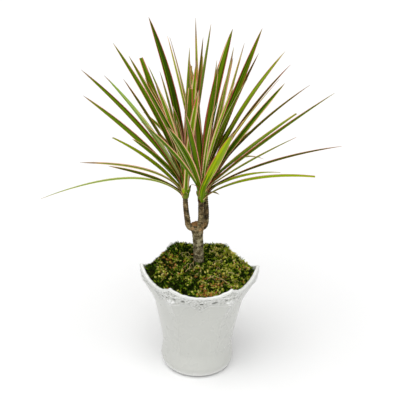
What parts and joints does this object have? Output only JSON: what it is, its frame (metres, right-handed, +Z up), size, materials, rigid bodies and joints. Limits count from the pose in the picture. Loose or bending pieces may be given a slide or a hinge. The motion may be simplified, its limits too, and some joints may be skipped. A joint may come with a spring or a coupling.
{
  "type": "potted madagascar dragon tree",
  "caption": "Young forked tree with narrow sword leaves in three heads, planted under moss in a glazed six-sided pot with an embossed flared rim.",
  "frame": {"origin": "centre of the pot's flat underside", "axes": "+Z up, the way the plant grows; the front, as the picture shows it, faces -Y; +X to the right seen from the front"},
  "size_m": [0.495, 0.4155, 0.591],
  "materials": {
    "white_glaze": "glossy white glaze",
    "potting_soil": "dark crumbly soil",
    "moss": "matt moss",
    "bark": "rough grey-brown bark",
    "leaf": "satin leaf"
  },
  "bodies": {
    "root": {"pot": "white_glaze", "potting_soil": "potting_soil", "moss": "moss", "trunk": "bark", "stem_left": "bark", "stem_front": "bark", "stem_back": "bark", "leaves_left_lower": "leaf", "leaves_left_middle": "leaf", "leaves_left_top": "leaf", "leaves_front_lower": "leaf", "leaves_front_middle": "leaf", "leaves_front_top": "leaf", "leaves_back_lower": "leaf", "leaves_back_middle": "leaf", "leaves_back_top": "leaf"}
  },
  "joints": []
}
